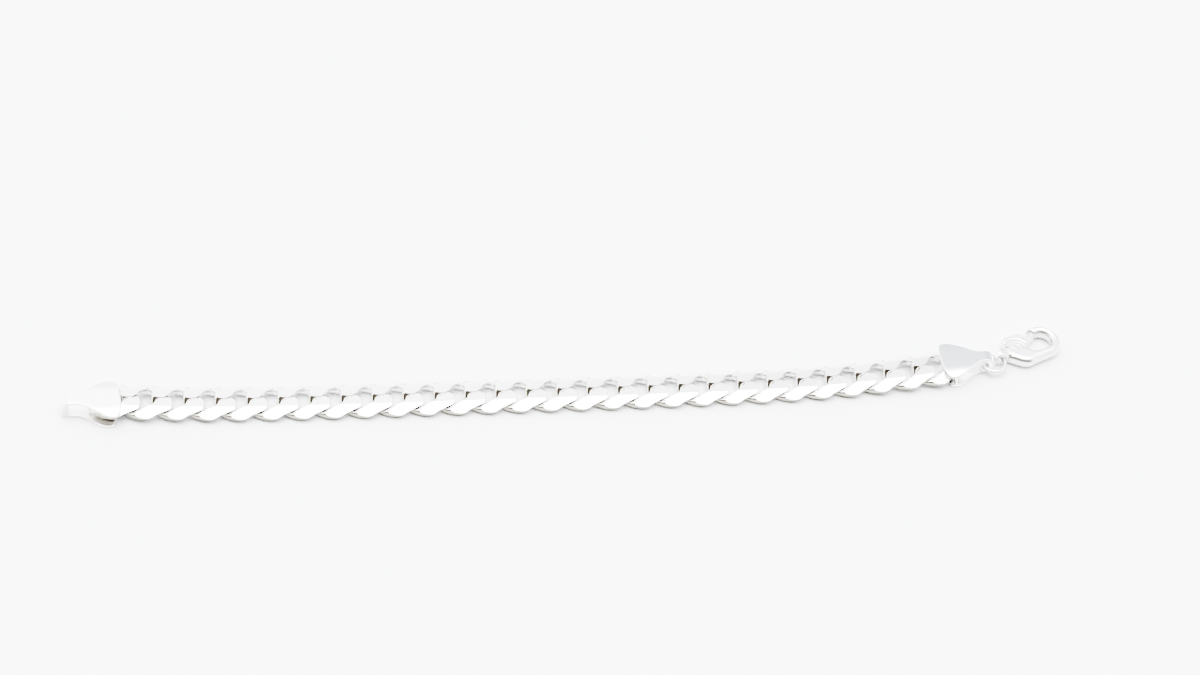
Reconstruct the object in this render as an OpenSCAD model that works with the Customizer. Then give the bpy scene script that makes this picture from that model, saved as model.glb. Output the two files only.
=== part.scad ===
// Flat bevelled curb bracelet, lying open, with two folded end caps, a jump ring and a lobster clasp.
// Millimetres. +X runs along the chain towards the clasp, +Z is up and the plane z = 0 carries it.

/* [Chain] */
// Number of links
link_count = 28; // [12:1:32]
// Distance from one link to the next
link_pitch = 5.96; // [5.6:0.02:6.6]
// Width of the chain from edge to edge
chain_width = 8.6; // [8:0.1:9.6]
// Thickness of the chain
chain_thickness = 2.4; // [2.2:0.05:2.8]
// Width of the wire of a link, seen from above
wire_width = 2; // [1.8:0.05:2.1]
// Gap between two neighbouring links where they meet on the midline
end_gap = 0.16; // [0.1:0.02:0.3]
// Width of the polished flat along the middle of the chain
flat_width = 4.3; // [2.8:0.1:5]
// Height that each polished bevel loses between the flat and the edge
bevel_drop = 1.23; // [0.7:0.01:1.3]
// Width of the flat underside
foot_width = 7.2; // [6:0.1:7.6]
// Rise of the underside between its flat and the edge
foot_rise = 0.28; // [0.1:0.02:0.5]
// Gap between the surface below and a link that lies on it
floor_gap = 0.02; // [0.01:0.01:0.05]

/* [Lie of the chain] */
// Heading that both ends gain against the middle
bend_even = 1.45; // [0:0.05:2.5]
// Heading that the clasp end gains and the plain end loses
bend_odd = 4.75; // [0:0.05:6]

/* [End caps] */
// Length of a cap's upper plate
cap_length = 11.3; // [10.6:0.1:12.5]
// How much shorter its lower plate is
lower_short = 0.8; // [0:0.1:1]
// Width of a cap across its lobes
cap_width = 9.2; // [8.4:0.1:10]
// Width of the folded neck
neck_width = 2.6; // [2.4:0.1:3.2]
// Length of the straight neck
neck_length = 2.6; // [2.4:0.1:3.4]
// Straight side of a lobe, next to its outer corner
lobe_flat = 0.05; // [0:0.01:0.2]
// Radius of a lobe's outer corner
lobe_radius = 1.3; // [1:0.1:1.8]
// Bow of the wide edge
edge_bow = 0.35; // [0:0.05:0.5]
// Thickness of a cap's plates
cap_plate = 0.45; // [0.35:0.05:0.6]
// Gap between a plate and the link that it holds
cap_gap = 0.08; // [0.06:0.01:0.12]
// Height of the folded tip
tip_height = 3.9; // [3.6:0.1:4.1]
// How far the upper plate's lobes bend down at their sides
lobe_drop = 0.5; // [0.3:0.05:0.6]
// How far the plain end's cap reaches past the centre of its link
start_reach = 1.16; // [0.8:0.02:1.6]
// How far the clasp end's cap stays short of the centre of its link
end_reach = 0.84; // [0.5:0.02:1]
// Turn of the plain end's cap against its link
start_turn = 6.5; // [0:0.5:7]
// Turn of the clasp end's cap against its link
end_turn = -5.5; // [-6:0.5:0]
// Sideways place of the plain end's cap on its link
start_side = -0.7; // [-0.9:0.1:0.2]
// Sideways place of the clasp end's cap on its link
end_side = 0.6; // [0:0.1:0.9]
// Diameter of the soldered post that holds the last link
post_diameter = 1.2; // [0.9:0.1:1.4]
// Distance from the last link's centre to its post
post_offset = 1.5; // [1.4:0.1:1.7]

/* [Jump ring] */
// Outer diameter of the jump ring
ring_diameter = 5.5; // [5.3:0.1:5.9]
// Diameter of its wire
ring_wire = 0.8; // [0.65:0.05:0.85]
// Tilt of the ring, near side down
ring_tilt = 2; // [0:1:8]
// Distance from the cap's tip to the ring's centre
ring_place = -0.1; // [-0.9:0.1:0]
// Height of the ring's centre
ring_height = 1.55; // [1.4:0.05:1.65]

/* [Clasp] */
// Turn of the clasp against its cap
clasp_turn = 15.5; // [10:0.5:18]
// Place of the clasp's eye around the jump ring
eye_angle = 36; // [24:1:38]
// How far the eye's middle lies inside the bent wire's middle line
eye_inset = 0.1; // [0:0.02:0.14]
// Outer diameter of the upright eye
eye_diameter = 3.15; // [3:0.05:3.3]
// Diameter of the hole in the eye
eye_hole = 1.9; // [1.8:0.05:2]
// Thickness of the eye
eye_thickness = 1.4; // [1.2:0.1:1.6]
// Thickness of the clasp's body
clasp_thickness = 2.6; // [2.4:0.1:2.8]
// Radius of the round base behind the pivot
base_radius = 1.75; // [1.6:0.05:1.9]
// Distance from the eye to the centre of the base
base_place = 2.7; // [2.6:0.1:3]
// Radius of the body's belly beside the pivot
belly_radius = 2.9; // [2.7:0.05:3]
// Distance from the eye to the centre of the belly
belly_place = 5.2; // [4.9:0.1:5.5]
// Sideways place of the belly's centre, on the side away from the lever's thumb knob
belly_side = -0.65; // [-0.8:0.05:-0.5]
// Outer radius of the hook
hook_radius = 3.85; // [3.7:0.05:4]
// Width of the hook's bow
hook_width = 1.9; // [1.7:0.05:2.1]
// Distance from the eye to the centre of the hook
hook_place = 10.1; // [9.8:0.1:10.4]
// Sideways place of the hook's centre
hook_side = 0.8; // [0.6:0.05:1]
// Length that the hook's opening has besides its round ends
opening_stretch = 1.9; // [1.6:0.1:2.2]
// Slant of the body's outer edges
clasp_edge = 0.6; // [0.3:0.05:0.8]

/* [Clasp lever] */
// Distance from the eye to the lever's pin
pin_place = 4.1; // [4:0.1:4.4]
// Sideways place of the pin
pin_side = 0.6; // [0.5:0.05:0.7]
// Diameter of the pin
pin_diameter = 1; // [0.8:0.05:1.1]
// Radial clearance of the lever on the pin
pin_clearance = 0.04; // [0.03:0.01:0.06]
// Radial gap between the pin and the body's cheeks
pin_seat = 0.02; // [0.01:0.01:0.03]
// Radius of the body's two cheeks round the pin
cheek_radius = 1.8; // [1.7:0.05:1.9]
// Radius of the lever's hub between the cheeks
hub_radius = 1.25; // [1.1:0.05:1.35]
// Thickness of the lever's hub
hub_thickness = 0.9; // [0.7:0.05:1.1]
// Length of the lever's gate from the pin to its tip
gate_length = 5.5; // [5.3:0.1:5.7]
// Width of the gate
gate_width = 1.2; // [1:0.05:1.3]
// Thickness of the gate and of the thumb knob
gate_thickness = 1.7; // [1.4:0.1:2]
// Direction of the closed gate
gate_angle = 25; // [22:1:27]
// Radius of the thumb bar's round front
knob_radius = 1.3; // [1.2:0.05:1.5]
// Radius of its round back
knob_back_radius = 1; // [0.9:0.05:1.1]
// Distance from the pin to the centre of the bar's front
knob_place = 2.9; // [2.8:0.1:3]
// Direction of the bar's front seen from the pin
knob_angle = 55; // [51:1:60]
// Length between the centres of the bar's two ends
knob_length = 2.6; // [2.1:0.1:2.8]
// Gap between moving and fixed faces of the clasp
clasp_gap = 0.12; // [0.1:0.01:0.15]

/* [Hidden] */
$fn = 64;
function link_name(i) = str("link_", i < 10 ? "0" : "", i);

// Sections of one half of a link, from the near bump over the clasp end to the far bump.
// The other half is the same turned by half a turn. The plan places are shares of the link's
// outer and inner half sizes, the heights are shares of the thickness and roll is in degrees.
// Columns: outer x, outer y, inner x, inner y, height of the middle, half height, roll
LINK_ROWS = [
    [0.04, -1.00, -0.08, -1.00, 0.52, 0.56,  0],
    [0.36, -0.87,  0.30, -0.78, 0.80, 0.40,  0],
    [0.65, -0.73,  0.57, -0.42, 0.88, 0.33,  3],
    [0.92, -0.54,  0.85, -0.12, 0.88, 0.34,  8],
    [1.00, -0.16,  1.00, -0.02, 0.62, 0.46,  0],
    [0.99,  0.20,  1.00,  0.24, 0.28, 0.30,  0],
    [0.87,  0.55,  0.82,  0.64, 0.20, 0.22, -4],
    [0.42,  0.90,  0.34,  0.92, 0.35, 0.37,  0]];
OUT_X = 0;
OUT_Y = 1;
IN_X = 2;
IN_Y = 3;
MID_Z = 4;
HALF_Z = 5;
ROLL = 6;
// The six corners of the wire's section, as angles round its middle
WIRE_CORNERS = [0, 50, 130, 180, 230, 310];
// How boxy the upper half of the wire's section is, where 1 is an ellipse like the lower half
WIRE_BOXINESS = 0.75;
half_length_in = (link_pitch + end_gap) / 2;
half_length_out = half_length_in + wire_width;
half_width_out = chain_width / 2;
half_width_in = half_width_out - wire_width;
bevel_slope = bevel_drop / (half_width_out - flat_width / 2);
foot_slope = foot_rise / (half_width_out - foot_width / 2);

// Height of the link at each joint, as shares of its lift in the cap, counted from the cap
LIFT_SHARES = [1, 1, 0.8, 0.45, 0.17, 0.04, 0];
cap_lift = cap_plate + cap_gap;

// Height of the polished top and of the underside at a place across the chain
function top_at(y) = chain_thickness - bevel_slope * max(0, abs(y) - flat_width / 2);
function foot_at(y) = foot_slope * max(0, abs(y) - foot_width / 2);
function boxy(v, power) = sign(v) * pow(abs(v), power);

// Corners of one section: the wire's outline, with its top and foot pressed onto the polished planes
function section_points(row, side) =
    let (
        outer = side * [row[OUT_X] * half_length_out, row[OUT_Y] * half_width_out],
        inner = side * [row[IN_X] * half_length_in, row[IN_Y] * half_width_in],
        middle = (outer + inner) / 2,
        half_plan = norm(outer - inner) / 2,
        across = (outer - inner) / (2 * half_plan),
        half_z = row[HALF_Z] * chain_thickness)
    [for (a = WIRE_CORNERS)
        let (
            power = sin(a) < 0 ? 1 : WIRE_BOXINESS,
            u = half_plan * boxy(cos(a), power),
            v = half_z * boxy(sin(a), power),
            plan = middle + across * (u * cos(row[ROLL]) + v * sin(row[ROLL])),
            z = row[MID_Z] * chain_thickness - u * sin(row[ROLL]) + v * cos(row[ROLL]))
        [plan.x, plan.y, max(foot_at(plan.y), min(top_at(plan.y), z))]];

// Faces of a ring of sections, closed on itself
function ring_faces(count, corners) =
    [for (i = [0 : count - 1], j = [0 : corners - 1])
        let (i2 = (i + 1) % count, j2 = (j + 1) % corners)
        each [[i * corners + j, i2 * corners + j, i2 * corners + j2],
              [i * corners + j, i2 * corners + j2, i * corners + j2]]];

module link_body() {
    points = [for (side = [1, -1], row = LINK_ROWS) each section_points(row, side)];
    polyhedron(points, ring_faces(2 * len(LINK_ROWS), len(WIRE_CORNERS)));
}

// Heading of a place along the chain, counted in links, in degrees from +X
chain_middle = (link_count + 1) / 2;
function heading(k) = let (t = (k - chain_middle) / (chain_middle - 2)) bend_even * t * t + bend_odd * t * t * t;
function along(k) = [cos(heading(k)), sin(heading(k))];

// Joint k lies between link k and link k + 1, and joint 0 is the first link's outer end
joints = [for (k = 0, p = [0, 0]; k <= link_count; k = k + 1, p = p + link_pitch * along(k)) p];
function lift(k) =
    let (from_end = min(k, link_count - k))
    floor_gap + (cap_lift - floor_gap) * (from_end < len(LIFT_SHARES) ? LIFT_SHARES[from_end] : 0);
function link_centre(k) = (joints[k - 1] + joints[k]) / 2;

module place_link(k) {
    step = joints[k] - joints[k - 1];
    rise = lift(k) - lift(k - 1);
    translate([link_centre(k).x, link_centre(k).y, (lift(k) + lift(k - 1)) / 2])
        rotate([0, 0, atan2(step.y, step.x)])
            rotate([0, -asin(rise / link_pitch), 0]) link_body();
}

// Outline of a cap from its tip at x = 0, half of it as a list of points
mouth_height = chain_thickness + 2 * (cap_plate + cap_gap);
tip_radius = tip_height / 2;
ogee_steps = 10;
arc_steps = 8;
lobe_half = cap_width / 2;
lobe_place = cap_length - edge_bow - lobe_radius - lobe_flat;
// The upper plate is flat above the flat of a link that lies off its middle
plate_flat = flat_width + 2 * max(abs(start_side), abs(end_side));
neck_half = neck_width / 2;
function cap_half_outline(length) =
    let (widest = lobe_place - (cap_length - length))
    concat(
        [[0, neck_half]],
        [for (i = [0 : ogee_steps]) let (t = i / ogee_steps)
            [neck_length + (widest - neck_length) * t, neck_half + (lobe_half - neck_half) * (1 - cos(180 * t)) / 2]],
        [for (i = [1 : arc_steps]) let (a = 90 - 80 * i / arc_steps)
            [length - edge_bow - lobe_radius + lobe_radius * cos(a), lobe_half - lobe_radius + lobe_radius * sin(a)]],
        [[length, 0]]);

module cap_outline(length) {
    half = cap_half_outline(length);
    polygon(concat(half, [for (i = [len(half) - 2 : -1 : 0]) [half[i].x, -half[i].y]]));
}

// Fall of the upper plate from the round tip to the mouth, in degrees
mouth_reach = [cap_length - tip_radius, mouth_height - tip_radius];
plate_fall = asin(tip_radius / norm(mouth_reach)) - atan2(mouth_reach.y, mouth_reach.x);

// Side view of the folded strip: a round bend at the tip and two plates that come closer to each other
module fold_profile(inset) {
    radius = tip_radius - inset;
    beyond = cap_length + tip_radius;
    polygon([
        [tip_radius, tip_radius - radius],
        [beyond, tip_radius - radius],
        [beyond, tip_radius + radius / cos(plate_fall) - (beyond - tip_radius) * tan(plate_fall)],
        [tip_radius + radius * sin(plate_fall), tip_radius + radius * cos(plate_fall)],
        [tip_radius, tip_radius]]);
    translate([tip_radius, tip_radius]) circle(radius);
}

// View along the chain: the space under the upper plate, with a flat middle and falling sides
module roof_profile(inset) {
    side_fall = lobe_drop / (lobe_half - plate_flat / 2);
    side = lobe_half + 1;
    top = tip_height - inset;
    polygon([
        [-side, 0], [side, 0], [side, top - side_fall * (side - plate_flat / 2)],
        [plate_flat / 2, top], [-plate_flat / 2, top], [-side, top - side_fall * (side - plate_flat / 2)]]);
}

// All that lies inside the folded strip's outer face, or inside a face that lies deeper by the inset
module folded(inset) {
    deep = cap_width + 2;
    intersection() {
        translate([0, deep / 2, 0]) rotate([90, 0, 0]) linear_extrude(deep) fold_profile(inset);
        translate([tip_radius, 0, tip_height]) rotate([0, plate_fall, 0]) translate([-2 * tip_radius, 0, -tip_height])
            rotate([90, 0, 90]) linear_extrude(cap_length + 2 * tip_radius) roof_profile(inset);
    }
}

module cap(post_x) {
    difference() {
        intersection() {
            union() {
                linear_extrude(tip_radius) cap_outline(cap_length - lower_short);
                translate([0, 0, tip_radius - cap_plate]) linear_extrude(tip_radius + cap_plate) cap_outline(cap_length);
            }
            folded(0);
        }
        folded(cap_plate);
    }
    translate([post_x, 0, cap_plate / 2]) cylinder(h = mouth_height - cap_plate, d = post_diameter);
}

// Places of the two caps' tips and their directions, each seen from its tip towards the chain
function ahead(a) = [cos(a), sin(a)];
function aside(a) = [-sin(a), cos(a)];
start_heading = heading(1) + start_turn;
start_tip = link_centre(1) + start_side * aside(start_heading) - (cap_length - start_reach) * ahead(start_heading);
end_heading = heading(link_count) + end_turn;
end_tip = link_centre(link_count) + end_side * aside(end_heading) + (cap_length + end_reach) * ahead(end_heading);

module place_start() { translate([start_tip.x, start_tip.y, 0]) rotate([0, 0, start_heading]) children(); }
module place_end() { translate([end_tip.x, end_tip.y, 0]) rotate([0, 0, end_heading]) children(); }

// The jump ring goes through the fold of the end cap and round its tip
ring_radius = (ring_diameter - ring_wire) / 2;
module place_ring() { place_end() translate([ring_place, 0, ring_height]) rotate([ring_tilt, 0, 0]) children(); }

// The clasp has its eye on the jump ring, with its own x axis running to the hook
eye_radius = ring_radius - eye_inset;
eye_x = ring_place + eye_radius * cos(eye_angle);
eye_y = eye_radius * sin(eye_angle) * cos(ring_tilt);
module place_clasp() { place_end() translate([eye_x, eye_y, 0]) rotate([0, 0, clasp_turn]) children(); }

eye_z = eye_diameter / 2;
pin = [pin_place, pin_side];
base = [base_place, 0];
belly = [belly_place, belly_side];
hook_centre = [hook_place, hook_side];
opening_radius = hook_radius - hook_width;

// Area that two circles and their outer tangents enclose
tangent_inset = 0.02;
module tapered(r1, c2, r2) {
    axis = atan2(c2.y, c2.x);
    a = acos((r1 - r2) / norm(c2));
    s1 = r1 - tangent_inset;
    s2 = r2 - tangent_inset;
    circle(r1);
    translate(c2) circle(r2);
    polygon([s1 * ahead(axis + a), c2 + s2 * ahead(axis + a), c2 + s2 * ahead(axis - a), s1 * ahead(axis - a)]);
}

// Wedge of a disc round the pin, between two directions less than half a turn apart
module wedge(radius, from, to) {
    reach = 2 * radius;
    middle = (from + to) / 2;
    intersection() {
        circle(radius);
        polygon([[0, 0], reach * ahead(from), reach * ahead(middle), reach * ahead(to)]);
    }
}

gate_room_from = -8;
gate_room_to = 150;
slot_from = -32;
slot_radius = cheek_radius + gate_width;
module body_openings() {
    for (x = [0, opening_stretch]) translate(hook_centre - [x, 0]) circle(opening_radius);
    translate(hook_centre - [opening_stretch, opening_radius]) square([opening_stretch, 2 * opening_radius]);
    translate(pin) difference() {
        wedge(gate_length + clasp_gap, gate_room_from, gate_room_to);
        circle(cheek_radius);
    }
}

// Plate with slanted edges over a convex outline
plate_sides = 32;
module cast_plate() {
    $fn = plate_sides;
    hull() {
        translate([0, 0, clasp_edge]) linear_extrude(clasp_thickness - 2 * clasp_edge) children();
        linear_extrude(clasp_thickness) offset(delta = -clasp_edge) children();
    }
}

module lever_slot() {
    translate(pin) {
        circle(hub_radius + clasp_gap);
        wedge(slot_radius, slot_from, gate_room_to);
    }
}

module clasp_body_shape() {
    slot_height = hub_thickness + 2 * clasp_gap;
    difference() {
        union() {
            difference() {
                union() {
                    cast_plate() translate(base) tapered(base_radius, belly - base, belly_radius);
                    cast_plate() translate(belly) tapered(belly_radius, hook_centre - belly, hook_radius);
                }
                translate([0, 0, -clasp_gap]) linear_extrude(clasp_thickness + 2 * clasp_gap) body_openings();
            }
            translate([0, eye_thickness / 2, eye_z]) rotate([90, 0, 0]) cylinder(h = eye_thickness, d = eye_diameter);
            translate([0, -eye_thickness / 2, 0]) cube([base_place, eye_thickness, clasp_thickness]);
        }
        translate([0, eye_thickness, eye_z]) rotate([90, 0, 0]) cylinder(h = 2 * eye_thickness, d = eye_hole);
        translate([0, 0, (clasp_thickness - slot_height) / 2]) linear_extrude(slot_height) lever_slot();
        translate([pin.x, pin.y, -clasp_gap]) cylinder(h = clasp_thickness + 2 * clasp_gap, d = pin_diameter + 2 * pin_seat);
    }
}

module gate_outline() {
    rotate(gate_angle) intersection() {
        translate([0, -gate_width / 2]) square([gate_length, gate_width]);
        circle(gate_length);
    }
}

module knob_outline() {
    translate(knob_place * ahead(knob_angle)) tapered(knob_radius, [-knob_length, 0], knob_back_radius);
}

module clasp_lever_shape() {
    thick_from = cheek_radius + clasp_gap + gate_width / 3;
    translate([pin.x, pin.y, clasp_thickness / 2]) difference() {
        union() {
            linear_extrude(hub_thickness, center = true) {
                circle(hub_radius);
                gate_outline();
                knob_outline();
            }
            linear_extrude(gate_thickness, center = true) difference() {
                union() {
                    gate_outline();
                    knob_outline();
                }
                circle(thick_from);
            }
        }
        cylinder(h = 2 * gate_thickness, d = pin_diameter + 2 * pin_clearance, center = true);
    }
}

// The whole bracelet is moved so that the origin is under the middle of its box
clasp_heading = end_heading + clasp_turn;
eye_centre = end_tip + eye_x * ahead(end_heading) + eye_y * aside(end_heading);
hook_world = eye_centre + hook_centre.x * ahead(clasp_heading) + hook_centre.y * aside(clasp_heading);
start_corner = start_tip - neck_half * [abs(sin(start_heading)), 0];
chain_low = min([for (k = [1 : link_count]) link_centre(k).y]) - half_width_out;
lobe_low = start_tip.y + lobe_place * sin(start_heading) - lobe_half * cos(start_heading);
box_middle = [
    (start_corner.x + hook_world.x + hook_radius) / 2,
    (min(chain_low, lobe_low) + hook_world.y + hook_radius) / 2];
module placed() { translate([-box_middle.x, -box_middle.y, 0]) children(); }

module cap_start() {
    color("gainsboro") placed() place_start() cap(cap_length - start_reach - post_offset);
}
module cap_end() {
    color("gainsboro") placed() place_end() rotate([0, 0, 180]) cap(cap_length + end_reach - post_offset);
}
module jump_ring() {
    color("silver") placed() place_ring() rotate_extrude() translate([ring_radius, 0]) circle(d = ring_wire);
}
module clasp_body() { color("gainsboro") placed() place_clasp() clasp_body_shape(); }
module clasp_lever() { color("silver") placed() place_clasp() clasp_lever_shape(); }
module clasp_pin() {
    color("darkgray") placed() place_clasp() translate([pin.x, pin.y, 0]) cylinder(h = clasp_thickness, d = pin_diameter);
}
module chain_link(k) { color("whitesmoke") placed() place_link(k); }

cap_start();
cap_end();
jump_ring();
clasp_body();
clasp_lever();
clasp_pin();
for (k = [1 : link_count]) chain_link(k);
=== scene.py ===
import math

import bmesh
import bpy
import numpy as np
from mathutils import Matrix, Vector


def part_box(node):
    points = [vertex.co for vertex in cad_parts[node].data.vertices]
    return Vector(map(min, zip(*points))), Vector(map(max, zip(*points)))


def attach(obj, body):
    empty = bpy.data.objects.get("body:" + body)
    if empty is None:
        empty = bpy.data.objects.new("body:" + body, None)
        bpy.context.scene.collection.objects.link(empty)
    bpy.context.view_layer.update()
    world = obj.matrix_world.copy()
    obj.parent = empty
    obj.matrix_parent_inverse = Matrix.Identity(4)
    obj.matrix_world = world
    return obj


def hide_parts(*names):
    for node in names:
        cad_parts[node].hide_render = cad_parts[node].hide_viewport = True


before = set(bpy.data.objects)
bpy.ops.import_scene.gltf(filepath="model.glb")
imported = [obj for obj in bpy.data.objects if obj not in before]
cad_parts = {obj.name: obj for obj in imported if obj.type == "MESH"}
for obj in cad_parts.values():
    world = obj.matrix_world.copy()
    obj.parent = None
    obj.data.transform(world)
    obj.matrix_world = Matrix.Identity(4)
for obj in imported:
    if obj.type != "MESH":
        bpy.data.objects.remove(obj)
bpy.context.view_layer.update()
scene = bpy.context.scene
MM = 0.001

# Chain sizes in mm, the same as in the part's source
LINKS = 28
PITCH = 5.96
CHAIN_W = 8.6
CHAIN_T = 2.4
WIRE_W = 2.0
END_GAP = 0.16
FLAT_W = 4.3
BEVEL_DROP = 1.23
FOOT_W = 7.2
FOOT_RISE = 0.28
FLOOR_GAP = 0.02
BEND_EVEN = 1.45
BEND_ODD = 4.75

# End caps
CAP_L = 11.3
LOWER_SHORT = 0.8
CAP_W = 9.2
NECK_W = 2.6
NECK_L = 2.6
LOBE_FLAT = 0.05
LOBE_R = 1.3
EDGE_BOW = 0.35
PLATE = 0.45
CAP_GAP = 0.08
TIP_H = 3.9
LOBE_DROP = 0.5
START_REACH = 1.16
END_REACH = 0.84
START_TURN = 6.5
END_TURN = -5.5
START_SIDE = -0.7
END_SIDE = 0.6
POST_D = 1.2
POST_OFF = 1.5

# Jump ring and clasp
RING_D = 5.5
RING_WIRE = 0.8
RING_TILT = 2.0
RING_AT = -0.1
RING_Z = 1.55
CLASP_TURN = 15.5
EYE_ANGLE = 36.0
EYE_INSET = 0.1
EYE_D = 3.15
EYE_HOLE = 1.9
EYE_T = 1.4
CLASP_T = 2.6
BASE_R = 1.75
BASE_AT = 2.7
BELLY_R = 2.9
BELLY_AT = (5.2, -0.65)
HOOK_R = 3.85
HOOK_W = 1.9
HOOK_AT = (10.1, 0.8)
STRETCH = 1.9
PIN_AT = (4.1, 0.6)
PIN_D = 1.0
PIN_CLEAR = 0.04
PIN_SEAT = 0.02
CHEEK_R = 1.8
HUB_R = 1.25
HUB_T = 0.9
GATE_L = 5.5
GATE_W = 1.2
GATE_T = 1.7
GATE_ANGLE = 25.0
KNOB_R = 1.3
KNOB_BACK_R = 1.0
KNOB_AT = 2.9
KNOB_ANGLE = 55.0
KNOB_L = 2.6
GAP = 0.12

# Sections of half a link: outer x, outer y, inner x, inner y, middle height, half height, roll
LINK_ROWS = [
    [0.04, -1.00, -0.08, -1.00, 0.52, 0.56, 0],
    [0.36, -0.87, 0.30, -0.78, 0.80, 0.40, 0],
    [0.65, -0.73, 0.57, -0.42, 0.88, 0.33, 3],
    [0.92, -0.54, 0.85, -0.12, 0.88, 0.34, 8],
    [1.00, -0.16, 1.00, -0.02, 0.62, 0.46, 0],
    [0.99, 0.20, 1.00, 0.24, 0.28, 0.30, 0],
    [0.87, 0.55, 0.82, 0.64, 0.20, 0.22, -4],
    [0.42, 0.90, 0.34, 0.92, 0.35, 0.37, 0],
]
# Share of the caps' lift at each joint, counted from an end of the chain
LIFT_SHARES = [1, 1, 0.8, 0.45, 0.17, 0.04, 0]
# Power that makes the upper half of the wire's section boxy
BOXY = 0.75

IN_X = (PITCH + END_GAP) / 2
OUT_X = IN_X + WIRE_W
OUT_Y = CHAIN_W / 2
IN_Y = OUT_Y - WIRE_W
BEVEL_SLOPE = BEVEL_DROP / (OUT_Y - FLAT_W / 2)
FOOT_SLOPE = FOOT_RISE / (OUT_Y - FOOT_W / 2)
CAP_LIFT = PLATE + CAP_GAP
PLATE_FLAT = FLAT_W + 2 * max(abs(START_SIDE), abs(END_SIDE))
LOBE_AT = CAP_L - EDGE_BOW - LOBE_R - LOBE_FLAT
MOUTH_H = CHAIN_T + 2 * CAP_LIFT


def ahead(a):
    return np.array([math.cos(math.radians(a)), math.sin(math.radians(a))])


def aside(a):
    return np.array([-math.sin(math.radians(a)), math.cos(math.radians(a))])


# Lie of the chain
MID = (LINKS + 1) / 2


def heading(k):
    t = (k - MID) / (MID - 2)
    return BEND_EVEN * t * t + BEND_ODD * t * t * t


joints = [np.zeros(2)]
for k in range(1, LINKS + 1):
    joints.append(joints[-1] + PITCH * ahead(heading(k)))


def lift(k):
    n = min(k, LINKS - k)
    return FLOOR_GAP + (CAP_LIFT - FLOOR_GAP) * (LIFT_SHARES[n] if n < len(LIFT_SHARES) else 0)


def centre(k):
    return (joints[k - 1] + joints[k]) / 2


start_heading = heading(1) + START_TURN
start_tip = centre(1) + START_SIDE * aside(start_heading) - (CAP_L - START_REACH) * ahead(start_heading)
end_heading = heading(LINKS) + END_TURN
end_tip = centre(LINKS) + END_SIDE * aside(end_heading) + (CAP_L + END_REACH) * ahead(end_heading)
RING_R = (RING_D - RING_WIRE) / 2
eye_x = RING_AT + (RING_R - EYE_INSET) * math.cos(math.radians(EYE_ANGLE))
eye_y = (RING_R - EYE_INSET) * math.sin(math.radians(EYE_ANGLE)) * math.cos(math.radians(RING_TILT))
clasp_heading = end_heading + CLASP_TURN
eye_centre = end_tip + eye_x * ahead(end_heading) + eye_y * aside(end_heading)

# The shift from the chain's own origin to the frame's is read from the clasp's pin
pin_low, pin_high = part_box("clasp_pin")
pin_own = eye_centre + PIN_AT[0] * ahead(clasp_heading) + PIN_AT[1] * aside(clasp_heading)
shift = np.array((pin_low + pin_high)[:2]) / 2 / MM - pin_own


def place(origin, angle, z=0.0):
    at = Vector((*((origin + shift) * MM), z * MM))
    return Matrix.Translation(at) @ Matrix.Rotation(math.radians(angle), 4, "Z")


def mesh_object(name, me, matrix, body, node):
    ob = bpy.data.objects.new(name, me)
    scene.collection.objects.link(ob)
    ob.matrix_world = matrix
    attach(ob, body)
    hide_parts(node)


def smooth(me):
    me.polygons.foreach_set("use_smooth", [True] * len(me.polygons))


def outward(me):
    bm = bmesh.new()
    bm.from_mesh(me)
    bmesh.ops.recalc_face_normals(bm, faces=bm.faces)
    bm.to_mesh(me)
    bm.free()


def closed_mesh(name, verts, faces):
    me = bpy.data.meshes.new(name)
    me.from_pydata(verts, [], faces)
    outward(me)
    return me


def finish(me, material):
    me.transform(Matrix.Scale(MM, 4))
    me.materials.append(material)
    return me


def tube_faces(stations, sides):
    faces = []
    for i in range(stations):
        k = (i + 1) % stations
        for j in range(sides):
            m = (j + 1) % sides
            faces.append((i * sides + j, k * sides + j, k * sides + m, i * sides + m))
    return faces


# Silver: fine noise makes its roughness, tint and slight waviness uneven
NOISE_SCALE = 900.0
NOISE_DETAIL = 3.0
TONE_RISE = 1.035
BUMP_STRENGTH = 0.04
BUMP_DISTANCE = 0.00002
# Painted shade: the base colour is darkened on the links' outer sides where their faces turn sideways and
# down, standing in for the shadowed floor they reflect, and on the end cap's upper plate where it faces up,
# a painted darker reflection: the painted tint, the axis and the band in mm where it begins, and the way
# that the faces turn
OUTER_SIDE_SHADE = ((0.42, 0.4, 0.35), "Y", (2.6, 3.1), (0.84, 0.5))
UPPER_PLATE_SHADE = ((0.58, 0.595, 0.61), "Z", (1.5, 2.5), (0.85, 0.96))


def ranged(nt, value, low, high):
    node = nt.nodes.new("ShaderNodeMapRange")
    node.inputs["From Min"].default_value = low
    node.inputs["From Max"].default_value = high
    nt.links.new(value, node.inputs["Value"])
    return node.outputs["Result"]


def combined(nt, kind, a, b=None):
    node = nt.nodes.new("ShaderNodeMath")
    node.operation = kind
    nt.links.new(a, node.inputs[0])
    if b:
        nt.links.new(b, node.inputs[1])
    return node.outputs["Value"]


def parts_of(nt, vector):
    node = nt.nodes.new("ShaderNodeSeparateXYZ")
    nt.links.new(vector, node.inputs["Vector"])
    return node.outputs


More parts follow.
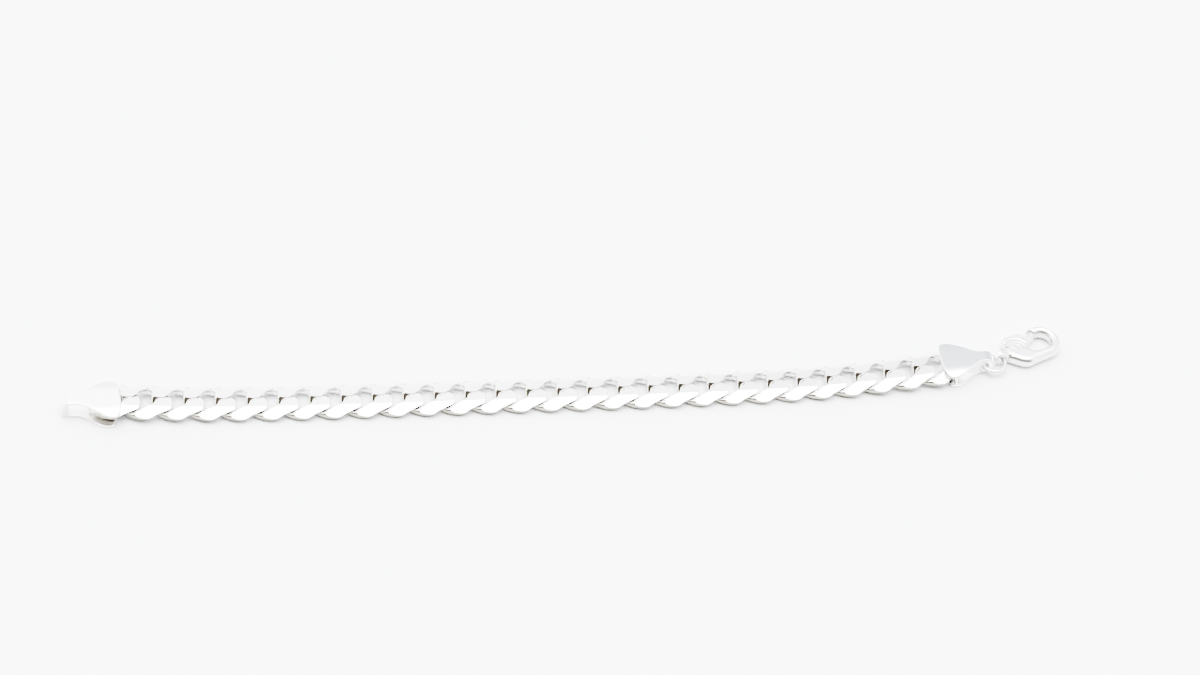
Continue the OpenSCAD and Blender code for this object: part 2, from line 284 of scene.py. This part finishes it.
def silver_material(name, smoothest, roughest, tone, painted_shade=None):
    mat = bpy.data.materials.new(name)
    mat.use_nodes = True
    nt = mat.node_tree
    bsdf = nt.nodes["Principled BSDF"]
    bsdf.inputs["Metallic"].default_value = 1.0
    coord = nt.nodes.new("ShaderNodeTexCoord")
    fine = nt.nodes.new("ShaderNodeTexNoise")
    fine.inputs["Scale"].default_value = NOISE_SCALE
    fine.inputs["Detail"].default_value = NOISE_DETAIL
    nt.links.new(coord.outputs["Object"], fine.inputs["Vector"])
    rough = nt.nodes.new("ShaderNodeMapRange")
    rough.inputs["To Min"].default_value = smoothest
    rough.inputs["To Max"].default_value = roughest
    nt.links.new(fine.outputs["Fac"], rough.inputs["Value"])
    nt.links.new(rough.outputs["Result"], bsdf.inputs["Roughness"])
    tint = nt.nodes.new("ShaderNodeMix")
    tint.data_type = "RGBA"
    tint.inputs["A"].default_value = (*tone, 1)
    tint.inputs["B"].default_value = (*[TONE_RISE * c for c in tone], 1)
    nt.links.new(fine.outputs["Fac"], tint.inputs["Factor"])
    nt.links.new(tint.outputs["Result"], bsdf.inputs["Base Color"])
    # Painted shade: darker base colour where the band along the axis and the face direction both switch it
    # on
    if painted_shade:
        painted_shade_tint, axis, band, facing = painted_shade
        beyond = combined(nt, "ABSOLUTE", parts_of(nt, coord.outputs["Object"])[axis])
        there = ranged(nt, beyond, band[0] * MM, band[1] * MM)
        faced = ranged(nt, parts_of(nt, coord.outputs["Normal"])["Z"], *facing)
        dark = nt.nodes.new("ShaderNodeMix")
        dark.data_type = "RGBA"
        dark.inputs["B"].default_value = (*painted_shade_tint, 1)
        nt.links.new(combined(nt, "MULTIPLY", there, faced), dark.inputs["Factor"])
        nt.links.new(tint.outputs["Result"], dark.inputs["A"])
        nt.links.new(dark.outputs["Result"], bsdf.inputs["Base Color"])
    bump = nt.nodes.new("ShaderNodeBump")
    bump.inputs["Strength"].default_value = BUMP_STRENGTH
    bump.inputs["Distance"].default_value = BUMP_DISTANCE
    nt.links.new(fine.outputs["Fac"], bump.inputs["Height"])
    nt.links.new(bump.outputs["Normal"], bsdf.inputs["Normal"])
    return mat


# The links' silver has painted shade on its outer, sideways and downward facing sides
silver = silver_material("polished_silver", 0.05, 0.12, (0.93, 0.925, 0.91), OUTER_SIDE_SHADE)
cast_silver = silver_material("cast_silver", 0.24, 0.34, (0.82, 0.815, 0.8))
satin_silver = silver_material("satin_silver", 0.28, 0.38, (0.95, 0.94, 0.92))
# The end cap's sheet silver has a painted darker reflection on the upward facing top of its upper plate
sheet_silver = silver_material("sheet_silver", 0.07, 0.13, (0.93, 0.925, 0.91), UPPER_PLATE_SHADE)

# Links: a smooth twisted wire ring, cut by the polished planes
WIRE_STATIONS = 112
WIRE_SIDES = 32
SLAB_HALF_W = 5.6
SLAB_HALF_L = 9.0
TINY = 1e-9
# A face lies on a cut plane within this distance, and with its normal this well in line
ON_PLANE = 1e-3
IN_LINE = 0.999


def top_at(y):
    return CHAIN_T - BEVEL_SLOPE * max(0, abs(y) - FLAT_W / 2)


def foot_at(y):
    return FOOT_SLOPE * max(0, abs(y) - FOOT_W / 2)


def catmull(rows, count):
    n = len(rows)
    out = []
    for i in range(count):
        s = i * n / count
        k = int(s)
        t = s - k
        a, b, c, d = (rows[(k + j) % n] for j in (-1, 0, 1, 2))
        curve = 2 * b + (c - a) * t + (2 * a - 5 * b + 4 * c - d) * t**2 + (3 * b - a - 3 * c + d) * t**3
        out.append(0.5 * curve)
    return np.array(out)


def boxy(v, power):
    return np.sign(v) * np.abs(v) ** power


def wire_mesh(stations, sides):
    rows = []
    for side in (1, -1):
        for ox, oy, ix, iy, mid_z, half_z, roll in LINK_ROWS:
            plan = [side * ox * OUT_X, side * oy * OUT_Y, side * ix * IN_X, side * iy * IN_Y]
            rows.append(np.array([*plan, mid_z * CHAIN_T, half_z * CHAIN_T, roll]))
    table = catmull(rows, stations)
    ph = np.arange(sides) * 2 * math.pi / sides
    power = np.where(np.sin(ph) > -TINY, BOXY, 1.0)
    verts = []
    for ox, oy, ix, iy, mid_z, half_z, roll in table:
        mid = np.array([(ox + ix) / 2, (oy + iy) / 2])
        half = np.array([(ox - ix) / 2, (oy - iy) / 2])
        size = np.hypot(*half)
        across = half / size
        u = boxy(np.cos(ph), power) * size
        v = boxy(np.sin(ph), power) * half_z
        a = math.radians(roll)
        plan = u * math.cos(a) + v * math.sin(a)
        z = mid_z - u * math.sin(a) + v * math.cos(a)
        verts += [(mid[0] + across[0] * p, mid[1] + across[1] * p, q) for p, q in zip(plan, z)]
    return closed_mesh("wire", verts, tube_faces(stations, sides))


def slab_mesh():
    w = SLAB_HALF_W
    prof = [
        (-w, top_at(w)), (-FLAT_W / 2, CHAIN_T), (FLAT_W / 2, CHAIN_T), (w, top_at(w)),
        (w, foot_at(w)), (FOOT_W / 2, 0), (-FOOT_W / 2, 0), (-w, foot_at(w)),
    ]
    n = len(prof)
    verts = [(x, y, z) for x in (-SLAB_HALF_L, SLAB_HALF_L) for y, z in prof]
    faces = [tuple(range(n)), tuple(range(2 * n - 1, n - 1, -1))]
    faces += [(i, i + n, (i + 1) % n + n, (i + 1) % n) for i in range(n)]
    return closed_mesh("slab", verts, faces)


def cut_planes():
    planes = [(Vector((0, 0, 1)), CHAIN_T), (Vector((0, 0, 1)), 0.0)]
    for s in (-1, 1):
        n = Vector((0, s * BEVEL_SLOPE, 1)).normalized()
        planes.append((n, n.dot(Vector((0, s * FLAT_W / 2, CHAIN_T)))))
        n = Vector((0, -s * FOOT_SLOPE, 1)).normalized()
        planes.append((n, n.dot(Vector((0, s * FOOT_W / 2, 0)))))
    return planes


def link_mesh():
    wire = bpy.data.objects.new("wire", wire_mesh(WIRE_STATIONS, WIRE_SIDES))
    slab = bpy.data.objects.new("slab", slab_mesh())
    scene.collection.objects.link(wire)
    scene.collection.objects.link(slab)
    cut = wire.modifiers.new("cut", "BOOLEAN")
    cut.operation = "INTERSECT"
    cut.solver = "EXACT"
    cut.object = slab
    dg = bpy.context.evaluated_depsgraph_get()
    me = bpy.data.meshes.new_from_object(wire.evaluated_get(dg))
    for ob in (wire, slab):
        bpy.data.objects.remove(ob)
    me.name = "link"
    outward(me)
    smooth(me)
    # The edges between a cut and the wire, or between two cuts, stay sharp
    planes = cut_planes()
    kinds = []
    for p in me.polygons:
        kind = 0
        for i, (n, d) in enumerate(planes):
            if abs(n.dot(p.center) - d) < ON_PLANE and abs(n.dot(p.normal)) > IN_LINE:
                kind = i + 1
        kinds.append(kind)
    sides = {}
    for p in me.polygons:
        for key in p.edge_keys:
            sides.setdefault(key, []).append(kinds[p.index])
    for e in me.edges:
        e.use_edge_sharp = len(set(sides.get(tuple(sorted(e.vertices)), []))) > 1
    return finish(me, silver)


link = link_mesh()
for k in range(1, LINKS + 1):
    step = joints[k] - joints[k - 1]
    rise = lift(k) - lift(k - 1)
    turn = math.degrees(math.atan2(step[1], step[0]))
    tilted = Matrix.Rotation(-math.asin(rise / PITCH), 4, "Y")
    m = place(centre(k), turn, (lift(k) + lift(k - 1)) / 2) @ tilted
    mesh_object(f"curb_link_{k:02d}", link, m, "bracelet", f"link_{k:02d}")

# End caps: one folded strip with rounded rims and the post
TIP_R = TIP_H / 2
LOBE = CAP_W / 2
NECK = NECK_W / 2
RIM = 0.2
RIM_ANGLES = (30, 60, 90)
LOBE_SOFT = 0.25
BULGE_RUN = 2.5
# Beyond this the soft step is a straight line, and its exponential would overflow
SOFT_END = 30
# Rows along the lower plate, the tip and the upper plate, columns across, and how they crowd to the edges
LOW_ROWS = 34
TIP_ROWS = 26
UP_ROWS = 40
COLS = 30
CROWD = 1.15
SPREAD = 0.94
POST_SIDES = 32
POST_SINK = PLATE * 0.6
CAP_SHARP = 50
reach = np.array([CAP_L - TIP_R, MOUTH_H - TIP_R])
FALL = math.asin(TIP_R / np.hypot(*reach)) - math.atan2(reach[1], reach[0])


def half_width(x, length):
    widest = LOBE_AT - (CAP_L - length)
    corner = length - EDGE_BOW - LOBE_R
    if x <= NECK_L:
        return NECK
    if x <= widest:
        return NECK + (LOBE - NECK) * (1 - math.cos(math.pi * (x - NECK_L) / (widest - NECK_L))) / 2
    if x <= corner:
        return LOBE
    return LOBE - LOBE_R + math.sqrt(max(0.0, LOBE_R**2 - (x - corner) ** 2))


def cap_mesh(post_x, material):
    mid_r = TIP_R - PLATE / 2
    low_l = CAP_L - LOWER_SHORT
    low_run = low_l - TIP_R
    arc_run = mid_r * (math.pi - FALL)
    start_up = TIP_R + mid_r * math.sin(FALL)
    up_run = (CAP_L - start_up) / math.cos(FALL)

    def x_of(u):
        if u < low_run:
            return low_l - u
        if u < low_run + arc_run:
            return TIP_R + mid_r * math.cos(-math.pi / 2 - (u - low_run) / mid_r)
        return start_up + (u - low_run - arc_run) * math.cos(FALL)

    # From a place u along and v across the strip, at height h over its middle, to the folded cap
    def fold(u, v, h):
        if u < low_run:
            p, n = (low_l - u, PLATE / 2), (0, -1)
        elif u < low_run + arc_run:
            a = -math.pi / 2 - (u - low_run) / mid_r
            p, n = (TIP_R + mid_r * math.cos(a), TIP_R + mid_r * math.sin(a)), (math.cos(a), math.sin(a))
        else:
            s = u - low_run - arc_run
            p = (start_up + s * math.cos(FALL), TIP_R + mid_r * math.cos(FALL) - s * math.sin(FALL))
            n = (math.sin(FALL), math.cos(FALL))
        z = p[1] + n[1] * h
        if u > low_run + arc_run:
            over = (abs(v) - PLATE_FLAT / 2) / LOBE_SOFT
            ramp = math.log1p(math.exp(over)) if over < SOFT_END else over
            z -= LOBE_DROP / (LOBE - PLATE_FLAT / 2) * LOBE_SOFT * ramp
        return (p[0] + n[0] * h, v, z)

    # Grid of the flat strip
    corner_back = EDGE_BOW + LOBE_R * (1 - math.sin(math.pi / 4))
    lows = corner_back + (low_run - corner_back) * np.linspace(0, 1, LOW_ROWS) ** CROWD
    arcs = low_run + arc_run * np.linspace(0, 1, TIP_ROWS)[1:]
    up_shares = 1 - (1 - np.linspace(0, 1, UP_ROWS)[1:]) ** CROWD
    ups = low_run + arc_run + (up_run - corner_back / math.cos(FALL)) * up_shares
    us = np.concatenate([lows, arcs, ups])
    qs = np.sin(np.linspace(-1, 1, COLS + 1) * math.pi / 2 * SPREAD) / math.sin(math.pi / 2 * SPREAD)
    grid = np.zeros((len(us), COLS + 1, 2))
    for i, u in enumerate(us):
        length = low_l if u < low_run + arc_run / 2 else CAP_L
        w = half_width(x_of(u), length)
        near_low = max(0.0, 1 - (u - us[0]) / BULGE_RUN)
        near_up = max(0.0, 1 - (us[-1] - u) / BULGE_RUN)
        bulge = corner_back * (near_up**2 - near_low**2)
        for j, q in enumerate(qs):
            grid[i, j] = (u + bulge * (1 - abs(q) ** 3), q * w)

    # Its edge, and the same grid drawn in by the rim's radius
    n, m = len(us), COLS + 1
    loop = [(i, 0) for i in range(n)] + [(n - 1, j) for j in range(1, m)]
    loop += [(i, m - 1) for i in range(n - 2, -1, -1)] + [(0, j) for j in range(m - 2, 0, -1)]
    edge = np.array([grid[i, j] for i, j in loop])
    tang = np.roll(edge, -1, 0) - np.roll(edge, 1, 0)
    normal = np.stack([tang[:, 1], -tang[:, 0]], 1)
    normal /= np.linalg.norm(normal, axis=1)[:, None]
    area = np.sum(edge[:, 0] * np.roll(edge[:, 1], -1) - np.roll(edge[:, 0], -1) * edge[:, 1])
    if area < 0:
        normal = -normal
    inner = edge - normal * RIM
    flat = grid.copy()
    for (i, j), p in zip(loop, inner):
        flat[i, j] = p
    for i in range(1, n - 1):
        wide = flat[i, m - 1, 1] - flat[i, 0, 1]
        full = grid[i, m - 1, 1] - grid[i, 0, 1]
        flat[i, 1:-1, 1] = flat[i, 0, 1] + (grid[i, 1:-1, 1] - grid[i, 0, 1]) * wide / full

    # Both faces of the strip, then the rounded rim between them
    verts, faces = [], []
    half = PLATE / 2
    for sign in (1, -1):
        base = len(verts)
        verts += [fold(flat[i, j, 0], flat[i, j, 1], sign * half) for i in range(n) for j in range(m)]
        for i in range(n - 1):
            for j in range(m - 1):
                a, b = base + i * m + j, base + (i + 1) * m + j
                faces.append((a, b, b + 1, a + 1) if sign == 1 else (a + 1, b + 1, b, a))
    rings = [[i * m + j for i, j in loop]]
    for sign, angles in ((1, RIM_ANGLES), (-1, RIM_ANGLES[::-1])):
        for a in angles:
            s, c = math.sin(math.radians(a)), math.cos(math.radians(a))
            rings.append(list(range(len(verts), len(verts) + len(loop))))
            h = sign * (half - RIM + RIM * c)
            verts += [fold(*(p + nn * RIM * s), h) for p, nn in zip(inner, normal)]
    rings.append([n * m + i * m + j for i, j in loop])
    for r, s in zip(rings, rings[1:]):
        for i in range(len(loop)):
            k = (i + 1) % len(loop)
            faces.append((r[i], s[i], s[k], r[k]))

    # The post, sunk into both plates
    base, far = len(verts), len(verts) + POST_SIDES
    for z in (POST_SINK, MOUTH_H - POST_SINK):
        for a in np.arange(POST_SIDES) * 2 * math.pi / POST_SIDES:
            verts.append((post_x + POST_D / 2 * math.cos(a), POST_D / 2 * math.sin(a), z))
    for i in range(POST_SIDES):
        k = (i + 1) % POST_SIDES
        faces.append((base + i, base + k, far + k, far + i))
    faces += [tuple(range(base, far)), tuple(range(far + POST_SIDES - 1, far - 1, -1))]
    me = closed_mesh("cap", verts, faces)
    smooth(me)
    me.set_sharp_from_angle(angle=math.radians(CAP_SHARP))
    return finish(me, material)


start_cap = cap_mesh(CAP_L - START_REACH - POST_OFF, satin_silver)
mesh_object("folded_cap_start", start_cap, place(start_tip, start_heading), "bracelet", "cap_start")
end_cap = cap_mesh(CAP_L + END_REACH - POST_OFF, sheet_silver)
mesh_object("folded_cap_end", end_cap, place(end_tip, end_heading + 180), "bracelet", "cap_end")

# Jump ring
RING_STATIONS = 128
RING_SIDES = 28


def ring_mesh(major, minor):
    verts = []
    for i in range(RING_STATIONS):
        a = 2 * math.pi * i / RING_STATIONS
        for j in range(RING_SIDES):
            b = 2 * math.pi * j / RING_SIDES
            r = major + minor * math.cos(b)
            verts.append((r * math.cos(a), r * math.sin(a), minor * math.sin(b)))
    me = closed_mesh("ring", verts, tube_faces(RING_STATIONS, RING_SIDES))
    smooth(me)
    return finish(me, cast_silver)


ring_tilted = Matrix.Rotation(math.radians(RING_TILT), 4, "X")
ring_place = place(end_tip, end_heading) @ Matrix.Translation((RING_AT * MM, 0, RING_Z * MM)) @ ring_tilted
mesh_object("round_jump_ring", ring_mesh(RING_R, RING_WIRE / 2), ring_place, "bracelet", "jump_ring")

# Clasp: rounded cast forms, meshed from their distance functions. Shares of the mesh's step: the probe that
# finds the slope, and the longest pull of a point to the surface in one of the pulls
FINE_STEP = 0.085
PULLS = 3
PROBE = 0.25
LONGEST_PULL = 0.4
LEAST_SLOPE = 0.25
HALF_T = CLASP_T / 2
EYE_Z = EYE_D / 2
# Angles in which the lever's room and its slot are cut, about the pin
ROOM_ANGLES = (-8, 150)
SLOT_ANGLES = (-32, 150)
HEEL = GATE_W / 3
# Radii of the rounded edges
BODY_ROUND = 1.1
EYE_ROUND = 0.3
BRIDGE_ROUND = 0.2
LEVER_ROUND = 0.4
HUB_ROUND = 0.08
# Widths of the fillets where two forms meet
WAIST_FILLET = 0.4
ROOM_FILLET = 0.2
EYE_FILLET = 0.25
NECK_FILLET = 0.3
HOLE_FILLET = 0.12
KNOB_FILLET = 0.4
HEEL_FILLET = 0.1
UNDERSIDE = 0.01
# Corners of the boxes that the two meshes are looked for in
BODY_BOX = ((-1.8, -3.8, -0.2), (13.9, 4.7, 3.4))
LEVER_BOX = ((1.8, -1.0, 0.2), (10.6, 4.8, 2.4))


def nets(f, low, high, step, name):
    axes = [np.arange(a, b + step, step) for a, b in zip(low, high)]
    g = np.meshgrid(*axes, indexing="ij")
    val = f(g[0], g[1], g[2])
    cells = np.array(val.shape) - 1
    total = np.zeros((cells.prod(), 3))
    count = np.zeros(cells.prod())
    quads = []
    for ax in range(3):
        lo = [slice(None)] * 3
        hi = [slice(None)] * 3
        lo[ax] = slice(0, -1)
        hi[ax] = slice(1, None)
        a, b = val[tuple(lo)], val[tuple(hi)]
        idx = np.argwhere((a < 0) != (b < 0))
        va, vb = a[tuple(idx.T)], b[tuple(idx.T)]
        pos = idx.astype(float)
        pos[:, ax] += va / (va - vb)
        o1, o2 = [k for k in range(3) if k != ax]
        ids = []
        for d1, d2 in ((0, 0), (1, 0), (1, 1), (0, 1)):
            c = idx.copy()
            c[:, o1] -= d1
            c[:, o2] -= d2
            flat = np.ravel_multi_index(np.clip(c, 0, cells - 1).T, cells)
            np.add.at(total, flat, pos)
            np.add.at(count, flat, 1)
            ids.append(flat)
        quad = np.stack(ids, 1)
        flip = (va < 0) if ax != 1 else (va >= 0)
        quad[flip] = quad[flip][:, ::-1]
        quads.append(quad)
    quads = np.concatenate(quads)
    used = np.unique(quads)
    remap = np.full(len(count), -1)
    remap[used] = np.arange(len(used))
    p = total[used] / count[used][:, None] * step + np.array(low)
    for _ in range(PULLS):
        e = step * PROBE
        d = f(*p.T)
        grad = np.stack([(f(*(p + e * v).T) - f(*(p - e * v).T)) / (2 * e) for v in np.eye(3)], 1)
        size = np.maximum(np.sum(grad**2, 1), LEAST_SLOPE)
        p -= np.clip(d / size, -LONGEST_PULL * step, LONGEST_PULL * step)[:, None] * grad
    me = closed_mesh(name, [tuple(v) for v in p], [tuple(int(i) for i in q) for q in remap[quads]])
    smooth(me)
    return finish(me, cast_silver)


def length(*v):
    return np.sqrt(sum(a * a for a in v))


# Outline round two circles, the first at the origin, and the straight sides between them
def taper(x, y, r1, c2, r2):
    h = math.hypot(*c2)
    cx, cy = c2[0] / h, c2[1] / h
    q = x * cx + y * cy
    p = np.abs(-x * cy + y * cx)
    b = (r1 - r2) / h
    a = math.sqrt(1 - b * b)
    k = -b * p + a * q
    sides = np.where(k > a * h, length(p, q - h) - r2, a * p + b * q - r1)
    return np.where(k < 0, length(p, q) - r1, sides)


def bar(x, y, a, b, r):
    ax, ay = b[0] - a[0], b[1] - a[1]
    t = np.clip(((x - a[0]) * ax + (y - a[1]) * ay) / (ax * ax + ay * ay), 0, 1)
    return length(x - a[0] - t * ax, y - a[1] - t * ay) - r


def sector(px, py, radius, start, stop):
    (c1, s1), (c2, s2) = ahead(start), ahead(stop)
    return np.maximum(length(px, py) - radius, np.maximum(-(c1 * py - s1 * px), c2 * py - s2 * px))


# A flat outline given a thickness, with edges rounded by r
def slice3(d2, z, mid, half, r):
    a, b = d2 + r, np.abs(z - mid) - half + r
    return np.minimum(np.maximum(a, b), 0) + length(np.maximum(a, 0), np.maximum(b, 0)) - r


def blend_min(a, b, k):
    h = np.clip(0.5 + 0.5 * (b - a) / k, 0, 1)
    return b * (1 - h) + a * h - k * h * (1 - h)


def blend_max(a, b, k):
    return -blend_min(-a, -b, k)


def clasp_body(x, y, z):
    px, py = x - PIN_AT[0], y - PIN_AT[1]
    belly_x, belly_y = BELLY_AT
    hook_x, hook_y = HOOK_AT
    back = taper(x - BASE_AT, y, BASE_R, (belly_x - BASE_AT, belly_y), BELLY_R)
    front = taper(x - belly_x, y - belly_y, BELLY_R, (hook_x - belly_x, hook_y - belly_y), HOOK_R)
    outline = blend_min(back, front, WAIST_FILLET)
    opening = bar(x, y, (hook_x - STRETCH, hook_y), HOOK_AT, HOOK_R - HOOK_W)
    room = np.maximum(sector(px, py, GATE_L + GAP, *ROOM_ANGLES), CHEEK_R - length(px, py))
    flat = blend_max(np.maximum(outline, -opening), -room, ROOM_FILLET)
    body = slice3(flat, z, HALF_T, HALF_T, BODY_ROUND)
    eye = slice3(length(x, z - EYE_Z) - EYE_D / 2, y, 0, EYE_T / 2, EYE_ROUND)
    bridge_plan = np.maximum(np.abs(z - HALF_T) - HALF_T, np.abs(x - BASE_AT / 2) - BASE_AT / 2)
    bridge = slice3(bridge_plan, y, 0, EYE_T / 2, BRIDGE_ROUND)
    whole = blend_min(body, blend_min(eye, bridge, EYE_FILLET), NECK_FILLET)
    whole = blend_max(whole, EYE_HOLE / 2 - length(x, z - EYE_Z), HOLE_FILLET)
    hub = length(px, py) - HUB_R - GAP
    slot_plan = np.minimum(hub, sector(px, py, CHEEK_R + GATE_W, *SLOT_ANGLES))
    slot = np.maximum(slot_plan, np.abs(z - HALF_T) - HUB_T / 2 - GAP)
    whole = np.maximum(whole, -slot)
    whole = np.maximum(whole, PIN_D / 2 + PIN_SEAT - length(px, py))
    return np.maximum(whole, UNDERSIDE - z)


def clasp_lever(x, y, z):
    px, py = x - PIN_AT[0], y - PIN_AT[1]
    c, s = ahead(GATE_ANGLE)
    along, across = px * c + py * s, -px * s + py * c
    gate = np.maximum(np.abs(across) - GATE_W / 2, np.maximum(-along, along - GATE_L))
    knob_x, knob_y = KNOB_AT * ahead(KNOB_ANGLE)
    knob = taper(px - knob_x, py - knob_y, KNOB_R, (-KNOB_L, 0), KNOB_BACK_R)
    arm = blend_min(gate, knob, KNOB_FILLET)
    far = CHEEK_R + GAP + HEEL - length(px, py)
    thick = slice3(blend_max(arm, far, HEEL_FILLET), z, HALF_T, GATE_T / 2, LEVER_ROUND)
    thin = slice3(np.minimum(length(px, py) - HUB_R, arm), z, HALF_T, HUB_T / 2, HUB_ROUND)
    return np.maximum(np.minimum(thick, thin), PIN_D / 2 + PIN_CLEAR - length(px, py))


net_step = FINE_STEP
clasp_place = place(eye_centre, clasp_heading)
body_mesh = nets(clasp_body, *BODY_BOX, net_step, "clasp_body")
mesh_object("cast_clasp_body", body_mesh, clasp_place, "bracelet", "clasp_body")
lever_mesh = nets(clasp_lever, *LEVER_BOX, net_step, "clasp_lever")
mesh_object("cast_clasp_lever", lever_mesh, clasp_place, "lever", "clasp_lever")

# The pin stays as it is, with the cast silver
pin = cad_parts["clasp_pin"]
pin.data.materials.clear()
pin.data.materials.append(cast_silver)

# Floor
FLOOR_HALF = 3.0
FLOOR_COLOUR = (0.86, 0.87, 0.885)
FLOOR_ROUGHNESS = 0.6
FLOOR_SPECULAR = 0.2
corners = [(-FLOOR_HALF, -FLOOR_HALF, 0), (FLOOR_HALF, -FLOOR_HALF, 0)]
corners += [(FLOOR_HALF, FLOOR_HALF, 0), (-FLOOR_HALF, FLOOR_HALF, 0)]
floor_mesh = bpy.data.meshes.new("floor")
floor_mesh.from_pydata(corners, [], [(0, 1, 2, 3)])
floor = bpy.data.objects.new("floor", floor_mesh)
scene.collection.objects.link(floor)
paper = bpy.data.materials.new("pale_floor")
paper.use_nodes = True
paper_bsdf = paper.node_tree.nodes["Principled BSDF"]
paper_bsdf.inputs["Base Color"].default_value = (*FLOOR_COLOUR, 1)
paper_bsdf.inputs["Roughness"].default_value = FLOOR_ROUGHNESS
paper_bsdf.inputs["Specular IOR Level"].default_value = FLOOR_SPECULAR
floor_mesh.materials.append(paper)

# Camera, from the fit to the photograph: angles in degrees, distance and target in mm, focal length in
# pixels of a frame of the photograph's width
ELEVATION = 46.0
AZIMUTH = 14.48
ROLL = 8.79
DISTANCE = 650.0
TARGET = np.array([6.54, 11.14])
FOCAL = 3300.0
PHOTO_W = 1200
SENSOR_W = 36
CLIP_START = 0.01
CLIP_END = 20
fwd = np.array([math.sin(math.radians(AZIMUTH)), math.cos(math.radians(AZIMUTH))])
ce, se = math.cos(math.radians(ELEVATION)), math.sin(math.radians(ELEVATION))
look = Vector((fwd[0] * ce, fwd[1] * ce, -se))
right = Vector((fwd[1], -fwd[0], 0))
up = right.cross(look)
cr, sr = math.cos(math.radians(ROLL)), math.sin(math.radians(ROLL))
right, up = cr * right + sr * up, -sr * right + cr * up
cam_data = bpy.data.cameras.new("camera")
cam = bpy.data.objects.new("camera", cam_data)
scene.collection.objects.link(cam)
at = Vector((TARGET[0] * MM, TARGET[1] * MM, 0)) - look * DISTANCE * MM
cam.matrix_world = Matrix((
    (right.x, up.x, -look.x, at.x),
    (right.y, up.y, -look.y, at.y),
    (right.z, up.z, -look.z, at.z),
    (0, 0, 0, 1),
))
cam_data.sensor_width = SENSOR_W
cam_data.lens = SENSOR_W * FOCAL / PHOTO_W
cam_data.clip_start = CLIP_START
cam_data.clip_end = CLIP_END
scene.camera = cam

# Soft studio light: a bright tent over and behind the piece, dark on the photographer's side. Each ramp
# has the cosine to its direction and the colour there, and the three are multiplied
TENT_STRENGTH = 12.0
DEPTH_STOPS = [
    (-1.0, (0.6, 0.605, 0.62)), (-0.7, (0.72, 0.725, 0.735)), (-0.3, (0.95, 0.95, 0.95)), (0.3, (1, 1, 1)),
    (0.42, (0.3, 0.285, 0.25)), (0.6, (0.06, 0.052, 0.038)), (0.75, (0.025, 0.021, 0.015)),
    (1.0, (0.13, 0.12, 0.1)),
]
HEIGHT_STOPS = [
    (-1.0, (0.3, 0.3, 0.3)), (0.72, (0.3, 0.3, 0.3)), (0.9, (0.5, 0.5, 0.5)), (0.96, (1, 1, 1)),
    (1.0, (1, 1, 1)),
]
SIDE_STOPS = [(-1.0, (1, 1, 1)), (-0.04, (1, 1, 1)), (0.1, (0.8, 0.81, 0.83)), (1.0, (0.75, 0.76, 0.79))]
world = bpy.data.worlds.new("studio")
scene.world = world
world.use_nodes = True
wt = world.node_tree
back = wt.nodes["Background"]
tc = wt.nodes.new("ShaderNodeTexCoord")


def ramp_along(direction, stops):
    dot = wt.nodes.new("ShaderNodeVectorMath")
    dot.operation = "DOT_PRODUCT"
    dot.inputs[1].default_value = direction
    wt.links.new(tc.outputs["Generated"], dot.inputs[0])
    ramp = wt.nodes.new("ShaderNodeValToRGB")
    wt.links.new(ranged(wt, dot.outputs["Value"], -1, 1), ramp.inputs["Fac"])
    els = ramp.color_ramp.elements
    els[0].position, els[0].color = (stops[0][0] + 1) / 2, (*stops[0][1], 1)
    els[1].position, els[1].color = (stops[-1][0] + 1) / 2, (*stops[-1][1], 1)
    for pos, col in stops[1:-1]:
        els.new((pos + 1) / 2).color = (*col, 1)
    return ramp.outputs["Color"]


def times(a, b):
    mix = wt.nodes.new("ShaderNodeMix")
    mix.data_type = "RGBA"
    mix.blend_type = "MULTIPLY"
    mix.inputs["Factor"].default_value = 1
    wt.links.new(a, mix.inputs["A"])
    wt.links.new(b, mix.inputs["B"])
    return mix.outputs["Result"]


depth = ramp_along((-fwd[0], -fwd[1], 0), DEPTH_STOPS)
height = ramp_along((0, 0, 1), HEIGHT_STOPS)
side = ramp_along((fwd[1], -fwd[0], 0), SIDE_STOPS)
wt.links.new(times(times(depth, side), height), back.inputs["Color"])
back.inputs["Strength"].default_value = TENT_STRENGTH
scene.view_settings.view_transform = "AgX"
scene.view_settings.look = "AgX - High Contrast"
